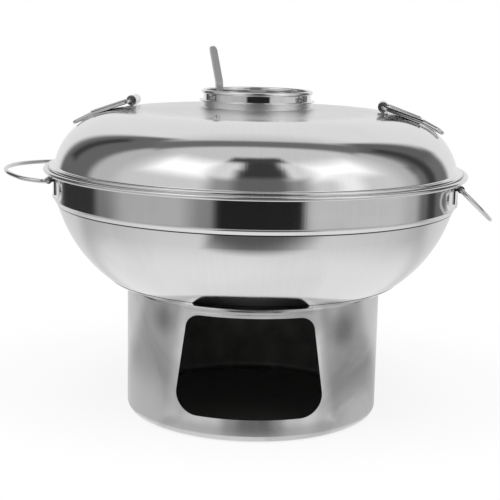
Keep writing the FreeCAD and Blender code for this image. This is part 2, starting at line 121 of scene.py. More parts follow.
class HotPotStudio(bpy.types.PropertyGroup):
    """Camera and light of the studio."""

    camera_distance: length_setting(
        "Camera distance", "Level distance from the pot's axis to the camera", 0.8899
    )
    camera_height: length_setting("Camera height", "Height of the camera", 0.2886)
    camera_orbit: angle_setting(
        "Camera orbit", "How far the camera stands round from the window's middle", 1.0
    )
    camera_turn: angle_setting("Camera turn", "How far the camera looks aside", 0.19)
    camera_pitch: angle_setting("Camera pitch", "How far the camera looks down", 10.83)
    camera_roll: angle_setting("Camera roll", "How far the camera leans", 1.18)
    lens: bpy.props.FloatProperty(
        name="Lens", description="Focal length on a 36 mm sensor, in millimetres", default=87.05
    )
    key_power: bpy.props.FloatProperty(
        name="Softbox power", description="Power of each softbox, in watts", default=11.0
    )
    room_level: bpy.props.FloatProperty(
        name="Room level", description="Strength of the room's own light", default=0.55
    )


# Node helpers

def link(tree, source, target):
    tree.links.new(source, target)


def add_node(tree, kind, inputs=None, **settings):
    """A node with these settings; each of its inputs takes a value or a socket."""
    node = tree.nodes.new(kind)
    for name, value in settings.items():
        setattr(node, name, value)
    for name, value in (inputs or {}).items():
        if isinstance(value, bpy.types.NodeSocket):
            link(tree, value, node.inputs[name])
        else:
            node.inputs[name].default_value = value
    return node


def math_node(tree, operation, *values):
    """A Math node whose inputs are numbers or sockets; returns its output."""
    inputs = dict(enumerate(values))
    return add_node(tree, "ShaderNodeMath", inputs, operation=operation).outputs[0]


def vector_node(tree, operation, *values):
    """A Vector Math node whose inputs are vectors, numbers or sockets; returns its output."""
    places = (0, "Scale") if operation == "SCALE" else (0, 1)
    inputs = dict(zip(places, values))
    node = add_node(tree, "ShaderNodeVectorMath", inputs, operation=operation)
    is_number = operation in ("LENGTH", "DISTANCE", "DOT_PRODUCT")
    return node.outputs["Value" if is_number else 0]


def object_place(tree):
    """Where a point lies on its piece, in metres."""
    return tree.nodes.new("ShaderNodeTexCoord").outputs["Object"]


def split(tree, place):
    """The three coordinates of a place."""
    return add_node(tree, "ShaderNodeSeparateXYZ", {0: place}).outputs


def level_part(tree, place):
    """A place brought down to the level of the origin."""
    return vector_node(tree, "MULTIPLY", place, (1.0, 1.0, 0.0))


def noise(tree, place, scale, **inputs):
    inputs.update({"Vector": place, "Scale": scale})
    return add_node(tree, "ShaderNodeTexNoise", inputs).outputs[0]


def soft_step(tree, value, low, high, below=0.0, above=1.0):
    """One level below the low value, another above the high one, smooth between."""
    inputs = {"Value": value, "From Min": low, "From Max": high, "To Min": below, "To Max": above}
    node = add_node(tree, "ShaderNodeMapRange", inputs, interpolation_type="SMOOTHSTEP")
    return node.outputs["Result"]


def within(tree, value, low, high):
    """How far a value lies inside its range; negative outside."""
    above = math_node(tree, "SUBTRACT", value, low)
    below = math_node(tree, "SUBTRACT", high, value)
    return math_node(tree, "MINIMUM", above, below)


def group_socket(tree, name, kind, default=None, output=False):
    socket = tree.interface.new_socket(
        name=name, in_out="OUTPUT" if output else "INPUT", socket_type=kind
    )
    if default is not None:
        socket.default_value = default
    return socket


# Shader node groups: each fill function links a group's nodes and returns its outputs

def fill_brushed(tree, inputs):
    """Fine brush lines on turned steel, with soft polishing smears and faint wipe marks."""
    place = object_place(tree)
    around = vector_node(tree, "NORMALIZE", level_part(tree, place))
    around = vector_node(tree, "SCALE", around, inputs["Lines round"])
    height = vector_node(tree, "MULTIPLY", place, (0.0, 0.0, 1.0))
    height = vector_node(tree, "SCALE", height, inputs["Lines up"])
    along = vector_node(tree, "ADD", around, height)
    lines = noise(tree, along, 1.0, Detail=3.0, Roughness=0.65)
    smears = noise(tree, place, 14.0, Detail=4.0, Distortion=0.6)
    ripples = noise(tree, place, inputs["Ripple scale"], Detail=1.0)
    line_offset = math_node(tree, "SUBTRACT", lines, 0.5)
    smear_offset = math_node(tree, "SUBTRACT", smears, 0.5)
    rough_lines = math_node(tree, "MULTIPLY", line_offset, inputs["Line roughness"])
    rough_smears = math_node(tree, "MULTIPLY", smear_offset, inputs["Smear"])
    rough = math_node(tree, "ADD", inputs["Gloss roughness"], rough_lines)
    rough = math_node(tree, "ADD", rough, rough_smears)
    dulled = math_node(tree, "MULTIPLY", soft_step(tree, smears, 0.42, 0.66), inputs["Haze"])
    tint = math_node(tree, "MULTIPLY", line_offset, inputs["Tint"])
    tint = math_node(tree, "ADD", tint, math_node(tree, "SUBTRACT", 1.0, dulled))
    fine = math_node(tree, "MULTIPLY", lines, inputs["Line height"])
    broad = math_node(tree, "MULTIPLY", ripples, inputs["Ripple height"])
    return {
        "Colour": vector_node(tree, "SCALE", inputs["Colour"], tint),
        "Roughness": math_node(tree, "MAXIMUM", rough, 0.02),
        "Height": math_node(tree, "ADD", fine, broad),
    }


def fill_painted_shade_and_reflection(tree, inputs):
    """Paints shade and dark reflections: darkens the colour inside a ring-shaped groove, and round
    one small hole.
    """
    place = object_place(tree)
    radius = vector_node(tree, "LENGTH", level_part(tree, place))
    inside = within(tree, radius, inputs["Inner radius"], inputs["Outer radius"])
    level = within(tree, split(tree, place)[2], inputs["Lowest"], inputs["Highest"])
    depth = math_node(tree, "MINIMUM", inside, level)
    away = vector_node(tree, "DISTANCE", place, inputs["Hole"])
    hole = math_node(tree, "SUBTRACT", inputs["Hole radius"], away)
    depth = math_node(tree, "MAXIMUM", depth, hole)
    share = math_node(tree, "DIVIDE", depth, inputs["Softness"])
    dark = math_node(tree, "MULTIPLY", soft_step(tree, share, 0.0, 1.0), inputs["Darkness"])
    keep = math_node(tree, "SUBTRACT", 1.0, dark)
    return {"Colour": vector_node(tree, "SCALE", inputs["Colour"], keep)}


def fill_matt_middle(tree, inputs):
    """Makes steel matter within a radius of the axis, and fades that out at a second radius."""
    radius = vector_node(tree, "LENGTH", level_part(tree, object_place(tree)))
    fade = soft_step(tree, radius, inputs["Inner radius"], inputs["Outer radius"], 1.0, 0.0)
    extra = math_node(tree, "MULTIPLY", fade, inputs["Extra"])
    return {"Roughness": math_node(tree, "ADD", inputs["Roughness"], extra)}


def fill_window_highlight(tree, inputs):
    """Paints a highlight on the base's steel round the window, on its front half and unevenly."""
    place = object_place(tree)
    across, depth, height = split(tree, place)
    rise = math_node(tree, "SUBTRACT", height, inputs["Sill"])
    narrowing = math_node(tree, "MULTIPLY", rise, inputs["Slope of the sides"])
    edge = math_node(tree, "SUBTRACT", inputs["Half width at the sill"], narrowing)
    aside = math_node(tree, "SUBTRACT", math_node(tree, "ABSOLUTE", across), edge)
    over = math_node(tree, "SUBTRACT", height, inputs["Head"])
    under = math_node(tree, "MULTIPLY", rise, -1.0)
    away = math_node(tree, "MAXIMUM", aside, math_node(tree, "MAXIMUM", over, under))
    share = math_node(tree, "DIVIDE", away, inputs["Width"])
    fade = soft_step(tree, share, 0.0, 1.0, 1.0, 0.0)
    front = math_node(tree, "LESS_THAN", depth, 0.0)
    uneven = math_node(tree, "MULTIPLY_ADD", noise(tree, place, 35.0), 1.6, 0.2)
    mask = math_node(tree, "MULTIPLY", fade, front)
    mask = math_node(tree, "MULTIPLY", mask, math_node(tree, "MULTIPLY", uneven, inputs["Wear"]))
    brighter = math_node(tree, "ADD", mask, 1.0)
    return {"Colour": vector_node(tree, "SCALE", inputs["Colour"], brighter)}


def fill_soot_and_shade_inside(tree, inputs):
    """Soot and painted shade on the faces that look inwards: their colour, and how rough they are.
    """
    coordinates = tree.nodes.new("ShaderNodeTexCoord")
    place = coordinates.outputs["Object"]
    outward = vector_node(tree, "NORMALIZE", level_part(tree, place))
    facing = vector_node(tree, "DOT_PRODUCT", coordinates.outputs["Normal"], outward)
    inward = math_node(tree, "LESS_THAN", facing, -0.2)
    low = math_node(tree, "LESS_THAN", split(tree, place)[2], inputs["Below"])
    mask = math_node(tree, "MULTIPLY", inward, low)
    uneven = math_node(tree, "MULTIPLY_ADD", noise(tree, place, 60.0), 0.8, 0.6)
    shaded_soot = vector_node(tree, "SCALE", inputs["Soot"], uneven)
    colours = {0: mask, 6: inputs["Colour"], 7: shaded_soot}
    colour = add_node(tree, "ShaderNodeMix", colours, data_type="RGBA")
    levels = {0: mask, 2: inputs["Roughness"], 3: inputs["Soot roughness"]}
    rough = add_node(tree, "ShaderNodeMix", levels)
    return {"Colour": colour.outputs[2], "Roughness": rough.outputs[0]}


def fill_room_patch(tree, inputs):
    """How far a direction lies inside a soft-edged patch of the room."""
    aside = math_node(tree, "SUBTRACT", inputs["Azimuth"], inputs["Middle"])
    wide = math_node(tree, "SUBTRACT", inputs["Half width"], math_node(tree, "ABSOLUTE", aside))
    tall = within(tree, inputs["Elevation"], inputs["Low"], inputs["High"])
    inside = math_node(tree, "MINIMUM", tall, wide)
    share = math_node(tree, "DIVIDE", inside, inputs["Softness"])
    return {"Mask": soft_step(tree, share, -1.0, 1.0)}


GREY = (0.7, 0.7, 0.7, 1.0)
ROOM_PATCH_SIZES = ("Middle", "Half width", "Low", "High", "Softness")

# How each group is filled, its outputs, and its inputs with the values that they start with
GROUPS = {
    "Brushed steel": (fill_brushed, ("Colour", "Roughness", "Height"), {
        "Colour": GREY, "Gloss roughness": 0.15, "Line roughness": 0.05, "Lines round": 300.0,
        "Lines up": 8.0, "Smear": 0.05, "Tint": 0.06, "Haze": 0.0, "Line height": 0.02,
        "Ripple height": 0.0, "Ripple scale": 20.0,
    }),
    # Painted shade and dark reflections, laid over the steel's colour
    "Dark groove": (fill_painted_shade_and_reflection, ("Colour",), {
        "Colour": GREY, "Inner radius": 0.0, "Outer radius": 0.0, "Lowest": 0.0, "Highest": 0.0,
        "Softness": 0.2 * MM, "Hole": (0.0, 0.0, 0.0), "Hole radius": -MM, "Darkness": 0.9,
    }),
    "Matt middle": (fill_matt_middle, ("Roughness",), {
        "Roughness": 0.1, "Extra": 0.25, "Inner radius": 75.0 * MM, "Outer radius": 115.0 * MM,
    }),
    # Painted highlight round the window
    "Window wear": (fill_window_highlight, ("Colour",), {
        "Colour": GREY, "Wear": 0.5, "Width": 9.0 * MM, "Half width at the sill": 53.2 * MM,
        "Slope of the sides": 0.1375, "Sill": 17.0 * MM, "Head": 89.0 * MM,
    }),
    "Smoked inside": (fill_soot_and_shade_inside, ("Colour", "Roughness"), {
        "Colour": GREY, "Roughness": 0.3, "Soot": GREY, "Soot roughness": 0.6, "Below": 99.5 * MM,
    }),
    "Room patch": (
        fill_room_patch,
        ("Mask",),
        dict.fromkeys(("Azimuth", "Elevation") + ROOM_PATCH_SIZES, 0.0),
    ),
}


def socket_kind(value):
    """Groups hold numbers, vectors of three and colours of four."""
    if isinstance(value, float):
        return "NodeSocketFloat"
    return "NodeSocketColor" if len(value) == 4 else "NodeSocketVector"


def shader_group(name):
    """The named group, built when it is first asked for."""
    if name in bpy.data.node_groups:
        return bpy.data.node_groups[name]
    fill, outputs, inputs = GROUPS[name]
    tree = bpy.data.node_groups.new(name, "ShaderNodeTree")
    for label, value in inputs.items():
        group_socket(tree, label, socket_kind(value), value)
    for label in outputs:
        kind = "NodeSocketColor" if label == "Colour" else "NodeSocketFloat"
        group_socket(tree, label, kind, output=True)
    start = tree.nodes.new("NodeGroupInput")
    end = tree.nodes.new("NodeGroupOutput")
    for label, result in fill(tree, start.outputs).items():
        link(tree, result, end.inputs[label])
    return tree


# Steel

def groove(*sizes):
    """A ring-shaped space: inner and outer radius, lowest and highest, in millimetres."""
    names = ("Inner radius", "Outer radius", "Lowest", "Highest")
    return {name: size * MM for name, size in zip(names, sizes)}


def spot(place, radius):
    """A ball-shaped space, in millimetres."""
    return {"Hole": [value * MM for value in place], "Hole radius": radius * MM}


# Softness and darkness of the painted dark reflections on the base
PAINTED_DARK_REFLECTION = {"Softness": 16.0 * MM, "Darkness": 0.42}

# What each finish changes in the brushed steel; a colour is named by its setting
STEELS = {
    "polished bowl": {
        "Colour": "bowl_colour", "Gloss roughness": 0.09, "Line roughness": 0.08,
        "Lines round": 220.0, "Tint": 0.12, "Haze": 0.06, "Line height": 0.07,
        "Ripple height": 0.5, "Ripple scale": 14.0,
    },
    "polished lid": {
        "Colour": "lid_colour", "Gloss roughness": 0.075, "Line roughness": 0.06,
        "Lines round": 220.0, "Tint": 0.10, "Haze": 0.03, "Line height": 0.10,
        "Ripple height": 0.4, "Ripple scale": 16.0,
    },
    "satin base": {
        "Colour": "base_colour", "Gloss roughness": 0.14, "Line roughness": 0.10, "Smear": 0.12,
        "Tint": 0.08, "Haze": 0.30, "Line height": 0.04, "Ripple height": 6.0,
    },
    "polished ear": {
        "Colour": "bowl_colour", "Gloss roughness": 0.08, "Ripple height": 1.0,
        "Ripple scale": 60.0,
    },
    "polished cup": {"Colour": "lid_colour", "Gloss roughness": 0.06, "Ripple height": 0.3},
    "bright wire": {"Colour": "wire_colour", "Gloss roughness": 0.07, "Line roughness": 0.02},
    "strap sheet": {"Colour": "wire_colour", "Gloss roughness": 0.11},
    "bracket sheet": {"Colour": "lid_colour", "Gloss roughness": 0.20},
    "damper strip": {"Colour": "lid_colour", "Gloss roughness": 0.30},
    "grip sheet": {"Colour": "lid_colour", "Gloss roughness": 0.12},
    "sooted flue": {"Colour": "flue_colour", "Gloss roughness": 0.42, "Smear": 0.3, "Tint": 0.3},
    # Soot and painted shade on the stove's floor and grate
    "smoked floor": {"Colour": "soot_and_shade_colour", "Gloss roughness": 0.6, "Smear": 0.3, "Tint": 0.5},
}
# Groups that come between the brushed steel and the shader, one after the other
ADDED_GROUPS = {
    "polished bowl": (
        # Painted shade on the flange, in the gap between the lid's hem and the rim bead
        ("Dark groove", groove(146.5, 151.75, 180.25, 182.0)),
        # Painted shade in the crease at the foot of the band's step
        ("Dark groove", groove(144.0, 146.05, 154.6, 155.7)),
    ),
    "polished lid": (
        # Painted shade on the skirt and under the hem, and a painted dark spot that stands for the
        # vent's hole
        ("Dark groove", {**groove(140.0, 151.1, 176.0, 180.75), **spot(VENT_MOUTH, VENT_HOLE_SHADE)}),
        ("Matt middle", {}),
    ),
    "satin base": (
        # Painted highlight round the window
        ("Window wear", {}),
        # Painted dark reflections on the base, right and left of the window
        ("Dark groove", {**spot((64.0, -67.0, 77.0), 19.0), **PAINTED_DARK_REFLECTION}),
        ("Dark groove", {**spot((-60.0, -72.0, 82.0), 17.0), **PAINTED_DARK_REFLECTION}),
        # Soot and painted shade on the base's inside faces
        ("Smoked inside", {"Soot": "soot_and_shade_colour"}),
    ),
}
SHADER_INPUTS = {"Colour": "Base Color", "Roughness": "Roughness"}


def with_colours(inputs):
    """The inputs, with each named setting swapped for its colour."""
    settings = bpy.context.scene.hot_pot_finishes
    return {
        label: (*getattr(settings, value), 1.0) if isinstance(value, str) else value
        for label, value in inputs.items()
    }


def put_between(tree, name, inputs):
    """Put a group between the brushed steel and the shader."""
    shader = tree.nodes["Principled BSDF"]
    inputs = with_colours(inputs)
    added = add_node(tree, "ShaderNodeGroup", inputs, node_tree=shader_group(name))
    for output in added.outputs:
        target = shader.inputs[SHADER_INPUTS[output.name]]
        link(tree, target.links[0].from_socket, added.inputs[output.name])
        link(tree, output, target)


def steel(name):
    """The named stainless steel, made when it is first asked for."""
    if name in bpy.data.materials:
        return bpy.data.materials[name]
    material = bpy.data.materials.new(name)
    material.use_nodes = True
    tree = material.node_tree
    shader = tree.nodes["Principled BSDF"]
    shader.inputs["Metallic"].default_value = 1.0
    inputs = with_colours(STEELS[name])
    brushed = add_node(tree, "ShaderNodeGroup", inputs, node_tree=shader_group("Brushed steel"))
    heights = {"Strength": 1.0, "Distance": 0.1 * MM, "Height": brushed.outputs["Height"]}
    relief = add_node(tree, "ShaderNodeBump", heights)
    for output, target in SHADER_INPUTS.items():
        link(tree, brushed.outputs[output], shader.inputs[target])
    link(tree, relief.outputs[0], shader.inputs["Normal"])
    for added, values in ADDED_GROUPS.get(name, ()):
        put_between(tree, added, values)
    return material


SLOT_FINISHES = {
    "base_satin": "satin base",
    "bowl_polished": "polished bowl",
    "lid_polished": "polished lid",
    "cup_polished": "polished cup",
    "wire_bright": "bright wire",
    "ear_polished": "polished ear",
    "strap_steel": "strap sheet",
    "strip_steel": "damper strip",
    "grip_satin": "grip sheet",
    "flue_steel": "sooted flue",
    "grate_steel": "sooted flue",
}
# Nodes whose finish differs from the rest of their slot
NODE_FINISHES = {
    # The stove's floor, grate and clips get soot and painted shade
    "ash_floor": "smoked floor",
    "charcoal_grate": "smoked floor",
    "grate_clips": "smoked floor",
    "right_lid_bracket": "bracket sheet",
    "left_lid_bracket": "bracket sheet",
}


class HOTPOT_OT_finish_frame(bpy.types.Operator):
    """Gives every node of the frame its steel"""

    bl_idname = "hotpot.finish_frame"
    bl_label = "Finish the frame"

    def execute(self, context):
        for entry in frame["record"]["subparts"]:
            node = frame["nodes"][entry["node"]]
            finish = NODE_FINISHES.get(entry["node"]) or SLOT_FINISHES[entry["material_slot"]]
            material = steel(finish)
            if not node.material_slots:
                node.data.materials.append(material)
            for slot in node.material_slots:
                slot.material = material
        return {"FINISHED"}


# Outlines of sheets and wires, in millimetres

# How far beside an arc the points stand that keep the straight runs flat
SUPPORT = 0.25


def direction(start, end):
    return (end - start).normalized()


def bend(corner, back, ahead, radius):
    """Points on the arc that rounds a corner between its two runs."""
    half = back.angle(ahead) / 2.0
    setback = radius / math.tan(half)
    middle = corner + (back + ahead).normalized() * (radius / math.sin(half))
    start = corner + back * setback - middle
    finish = corner + ahead * setback - middle
    sweep = math.pi - 2.0 * half
    quarter_steps = 10.0 + min(radius, 60.0) * 0.5
    count = max(3, math.ceil(sweep * quarter_steps / math.pi * 2.0))
    result = []
    for step in range(count + 1):
        share = step / count
        weight_start = math.sin((1.0 - share) * sweep) / math.sin(sweep)
        weight_finish = math.sin(share * sweep) / math.sin(sweep)
        result.append(middle + start * weight_start + finish * weight_finish)
    return result


def rounded(points, radii):
    """Points along the runs and the arcs; close ones beside each arc keep the runs flat."""
    points = [Vector(point) for point in points]
    result = [points[0]]
    for index, radius in enumerate(radii):
        corner = points[index + 1]
        back = direction(corner, points[index])
        ahead = direction(corner, points[index + 2])
        setback = radius / math.tan(back.angle(ahead) / 2.0)
        if (points[index] - corner).length > setback + 3.0 * SUPPORT:
            result.append(corner + back * (setback + SUPPORT))
        if radius > 0.0:
            result += bend(corner, back, ahead, radius)
        else:
            result.append(corner)
        if (points[index + 2] - corner).length > setback + 3.0 * SUPPORT:
            result.append(corner + ahead * (setback + SUPPORT))
    result.append(points[-1])
    return result


def arc(middle, radius, start, end, steps):
    """Points on a circle in the half plane, from one angle to the other, in degrees."""
    result = []
    for step in range(steps + 1):
        turn = math.radians(start + (end - start) * step / steps)
        across = middle[0] + radius * math.cos(turn)
        up = middle[1] + radius * math.sin(turn)
        result.append(Vector((across, up)))
    return result


def other_side(points, radii, thickness):
    """The corners of a bent sheet's other face, which lies to the left of the given one."""
    points = [Vector(point) for point in points]
    runs = [direction(first, second) for first, second in zip(points, points[1:])]
    sides = [Vector((-run.y, run.x)) for run in runs]
    corners = [points[0] + sides[0] * thickness]
    rounds = []
    for index, radius in enumerate(radii):
        before = sides[index]
        after = sides[index + 1]
        reach = thickness / (1.0 + before.dot(after))
        corners.append(points[index + 1] + (before + after) * reach)
        turns_left = runs[index].x * runs[index + 1].y > runs[index].y * runs[index + 1].x
        rounds.append(max(radius - thickness, 0.0) if turns_left else radius + thickness)
    corners.append(points[-1] + sides[-1] * thickness)
    return corners, rounds


def sheet_outline(points, radii, tip=()):
    """Closed section of a bent sheet; a rolled tip can stand at its end."""
    near = rounded(points, radii)
    far = rounded(*other_side(points, radii, SHEET / MM))
    if tip:
        near = near[:-1]
        far = far[:-1]
    return near + list(tip) + far[::-1]


# Geometry Nodes that turn an outline and bend a wire

CREASE = math.radians(30.0)


def geometry_tree(name, sockets):
    tree = bpy.data.node_groups.new(name, "GeometryNodeTree")
    group_socket(tree, "Geometry", "NodeSocketGeometry")
    for label, kind, default in sockets:
        group_socket(tree, label, kind, default)
    group_socket(tree, "Material", "NodeSocketMaterial")
    group_socket(tree, "Geometry", "NodeSocketGeometry", output=True)
    return tree, tree.nodes.new("NodeGroupInput"), tree.nodes.new("NodeGroupOutput")


def close_tree(tree, start, end, sweep):
    """Merge, shade smooth up to the crease angle, realize and set the material."""
    inputs = {"Geometry": sweep.outputs[0], "Distance": 0.002 * MM}
    merge = add_node(tree, "GeometryNodeMergeByDistance", inputs)
    smooth = add_node(tree, "GeometryNodeSetShadeSmooth", {"Geometry": merge.outputs[0]})
    angle = tree.nodes.new("GeometryNodeInputMeshEdgeAngle").outputs["Unsigned Angle"]
    steep = add_node(tree, "FunctionNodeCompare", {0: angle, 1: CREASE}, operation="GREATER_THAN")
    selected = steep.outputs[0]
    inputs = {"Geometry": smooth.outputs[0], "Selection": selected, "Shade Smooth": False}
    sharp = add_node(tree, "GeometryNodeSetShadeSmooth", inputs, domain="EDGE")
    realize = add_node(tree, "GeometryNodeRealizeInstances", {0: sharp.outputs[0]})
    inputs = {"Geometry": realize.outputs[0], "Material": start.outputs["Material"]}
    finish = add_node(tree, "GeometryNodeSetMaterial", inputs)
    link(tree, finish.outputs[0], end.inputs["Geometry"])
    return tree


def turned_tree():
    """Turns the object's own outline about the Z axis."""
    name = "Turned sheet"
    if name in bpy.data.node_groups:
        return bpy.data.node_groups[name]
    tree, start, end = geometry_tree(name, [("Steps round", "NodeSocketInt", 240)])
    outline = add_node(tree, "GeometryNodeMeshToCurve", {0: start.outputs["Geometry"]})
    inputs = {"Radius": MM, "Resolution": start.outputs["Steps round"]}
    lathe = add_node(tree, "GeometryNodeCurvePrimitiveCircle", inputs)
    inputs = {"Curve": lathe.outputs["Curve"]}
    upright = add_node(tree, "GeometryNodeSetCurveNormal", inputs, mode="Z_UP")
    inputs = {"Curve": upright.outputs[0], "Profile Curve": outline.outputs[0]}
    return close_tree(tree, start, end, add_node(tree, "GeometryNodeCurveToMesh", inputs))


def wire_tree():
    """Gives the object's own path a round wire with closed ends."""
    name = "Bent wire"
    if name in bpy.data.node_groups:
        return bpy.data.node_groups[name]
    sockets = [("Wire diameter", "NodeSocketFloat", 3.0 * MM), ("Steps round", "NodeSocketInt", 20)]
    tree, start, end = geometry_tree(name, sockets)
    path = add_node(tree, "GeometryNodeMeshToCurve", {0: start.outputs["Geometry"]})
    radius = math_node(tree, "DIVIDE", start.outputs["Wire diameter"], 2.0)
    inputs = {"Resolution": start.outputs["Steps round"], "Radius": radius}
    wire = add_node(tree, "GeometryNodeCurvePrimitiveCircle", inputs)
    inputs = {"Curve": path.outputs[0], "Profile Curve": wire.outputs["Curve"], "Fill Caps": True}
    return close_tree(tree, start, end, add_node(tree, "GeometryNodeCurveToMesh", inputs))


def chain(count):
    """Edges that join so many points one after the other."""
    return [(index, index + 1) for index in range(count - 1)]


def line_object(name, points, edges):
    """An object whose mesh is nothing but these edges."""
    mesh = bpy.data.meshes.new(name)
    mesh.from_pydata([tuple(point) for point in points], edges, [])
    piece = bpy.data.objects.new(name, mesh)
    bpy.context.scene.collection.objects.link(piece)
    return piece


def apply_tree(piece, tree, values):
    """Run a Geometry Nodes tree on the piece and keep its plain mesh."""
    modifier = piece.modifiers.new(tree.name, "NODES")
    modifier.node_group = tree
    identifiers = {
        item.name: item.identifier
        for item in tree.interface.items_tree
        if item.item_type == "SOCKET" and item.in_out == "INPUT"
    }
    for label, value in values.items():
        modifier[identifiers[label]] = value
    depsgraph = bpy.context.evaluated_depsgraph_get()
    depsgraph.update()
    mesh = bpy.data.meshes.new_from_object(piece.evaluated_get(depsgraph))
    piece.modifiers.remove(modifier)
    if not mesh.polygons:
        raise RuntimeError(piece.name + " came out empty")
    old = piece.data
    piece.data = mesh
    bpy.data.meshes.remove(old)
    mesh.name = piece.name
    shell = bmesh.new()
    shell.from_mesh(mesh)
    bmesh.ops.recalc_face_normals(shell, faces=shell.faces)
    if shell.calc_volume(signed=True) < 0.0:
        bmesh.ops.reverse_faces(shell, faces=shell.faces)
    shell.to_mesh(mesh)
    shell.free()
    return piece


def turned_piece(name, outline, material):
    """A piece turned from its closed outline of radius and height, in millimetres."""
    lathe_radius = 1.0
    points = [((point.x - lathe_radius) * MM, -point.y * MM, 0.0) for point in outline]
    piece = line_object(name, points, chain(len(points)) + [(len(points) - 1, 0)])
    steps = bpy.context.scene.hot_pot_sizes.turn_steps
    return apply_tree(piece, turned_tree(), {"Steps round": steps, "Material": material})


def wire_piece(name, points, diameter, material):
    """A round wire that follows the points, in millimetres."""
    piece = line_object(name, [Vector(point) * MM for point in points], chain(len(points)))
    steps = bpy.context.scene.hot_pot_sizes.wire_steps
    values = {"Wire diameter": diameter, "Steps round": steps, "Material": material}
    return apply_tree(piece, wire_tree(), values)


def stands_for(piece, node, body):
    """The piece takes the place of a node of the frame."""
    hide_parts(node)
    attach(piece, body)


class HOTPOT_OT_bowl(bpy.types.Operator):
    """Turns the pot's bowl with its straight band, flange and rolled rim bead"""

    bl_idname = "hotpot.bowl"
    bl_label = "Turn the bowl"

    def execute(self, context):
        corners = [
            (53.2, 100.0), (107.0, 100.0), (130.5, 115.2),
            (145.6, 155.4), (147.5, 158.4), (147.5, 179.6),
            (151.8, 179.6),
        ]
        bead = arc((153.4, 179.7), 1.6, 183.6, 514.1, 32)
        outline = sheet_outline(corners, [2.5, 98.0, 0.0, 3.5, 1.2], bead)
        bowl = turned_piece("bowl", outline, steel("polished bowl"))
        stands_for(bowl, "pot_bowl", "pot")
        return {"FINISHED"}


class HOTPOT_OT_lid(bpy.types.Operator):
    """Turns the lid with its skirt, folded hem, dome and neck"""

    bl_idname = "hotpot.lid"
    bl_label = "Turn the lid"

    def execute(self, context):
        corners = [
            (146.2, 177.0), (146.2, 180.4), (151.0, 180.4),
            (151.0, 183.1), (147.2, 183.1), (141.5, 204.84),
            (110.3, 222.1), (39.2, 225.0), (39.2, 229.5),
        ]
        outline = sheet_outline(corners, [0.3, 0.95, 0.95, 0.8, 45.0, 66.0, 0.8])
        lid = turned_piece("lid", outline, steel("polished lid"))
        stands_for(lid, "lid_dome", "lid")
        return {"FINISHED"}


class HOTPOT_OT_vent_collar(bpy.types.Operator):
    """Sets the steam vent's pressed collar on the lid"""

    bl_idname = "hotpot.vent_collar"
    bl_label = "Set the vent collar"

    def execute(self, context):
        outline = rounded(
            [(0.0, -0.6), (0.0, 0.3), (1.7, 0.3), (1.7, 1.1), (2.2, 1.1), (2.2, -0.6)],
            [0.0, 0.15, 0.2, 0.2],
        )
        collar = turned_piece("vent_collar", outline, steel("polished lid"))
        lean = Vector((math.cos(VENT_TURN), math.sin(VENT_TURN), 0.0)) * math.sin(VENT_LEAN)
        upward = (lean + Vector((0.0, 0.0, math.cos(VENT_LEAN)))).normalized()
        turn = upward.to_track_quat("Z", "Y").to_matrix().to_4x4()
        collar.data.transform(Matrix.Translation(Vector(VENT_FOOT) * MM) @ turn)
        stands_for(collar, "lid_dome", "lid")
        return {"FINISHED"}


class HOTPOT_OT_cup(bpy.types.Operator):
    """Turns the damper cup with its step, resting lip and rolled rim"""

    bl_idname = "hotpot.cup"
    bl_label = "Turn the damper cup"

    def execute(self, context):
        outline = rounded(
            [
                (0.0, 221.0),
                (36.6, 221.0),
                (36.6, 229.5),
                (42.2, 229.5),
                (42.2, 230.3),
                (39.1, 230.3),
                (39.1, 234.9),
            ],
            [2.0, 0.4, 0.35, 0.35, 0.3],
        )[:-1]
        outline += arc((39.2, 236.3), 1.4, -94.1, 230.0, 28)
        outline += rounded(
            [(38.3, 235.2), (38.3, 230.3), (35.8, 230.3), (35.8, 221.8), (0.0, 221.8)],
            [0.3, 0.6, 1.2],
        )[1:]
        cup = turned_piece("cup", outline, steel("polished cup"))
        stands_for(cup, "damper_cup", "damper")
        return {"FINISHED"}


def swung(point, pivot, down):
    """Turn a point about a level hinge line on the +X side; a positive angle lowers it."""
    turn = math.radians(down)
    out = point[0] - pivot[0]
    rise = point[2] - pivot[2]
    across = pivot[0] + out * math.cos(turn) + rise * math.sin(turn)
    up = pivot[2] - out * math.sin(turn) + rise * math.cos(turn)
    return Vector((across, point[1], up))


# Ring handles, in millimetres: where their hinge line stands, and how far they reach from it.
# Then which way each side lies, and how many degrees its ring hangs below the level.
RING_PIVOT = (144.6, 0.0, 174.2)
RING_REACH = 55.1
RING_SIDES = (("right", 1.0, 43.4), ("left", -1.0, -4.0))


class HOTPOT_OT_ring_handles(bpy.types.Operator):
    """Bends the two ring handles that lift the pot"""

    bl_idname = "hotpot.ring_handles"
    bl_label = "Bend the ring handles"

    def execute(self, context):
        half = [(0.0, 45.3), (0.0, 57.0), (16.7, 54.5)]
        corners = [(RING_PIVOT[0] + out, -along, RING_PIVOT[2]) for out, along in half]
        front = (RING_PIVOT[0] + RING_REACH, 0.0, RING_PIVOT[2])
        corners += [front] + [(out, -along, rise) for out, along, rise in corners[::-1]]
        path = rounded(corners, [3.8, 24.0, 70.0, 24.0, 3.8])
        wire = context.scene.hot_pot_sizes.ring_wire
        for side, sign, down in RING_SIDES:
            points = []
            for point in path:
                place = swung(point, RING_PIVOT, down)
                points.append(Vector((place.x * sign, place.y, place.z)))
            ring = wire_piece(side + "_ring", points, wire, steel("bright wire"))
            stands_for(ring, side + "_ring_handle", side + "_ring")
        return {"FINISHED"}


# Lid handles: how far they stand round from the ears, where their hinge line stands (in
# millimetres) and how many degrees they slope down from it
LID_TURN = math.radians(-4.5)
LID_HINGE = (91.7, 0.0, 228.059)
LID_HANDLE_SLOPE = 19.5
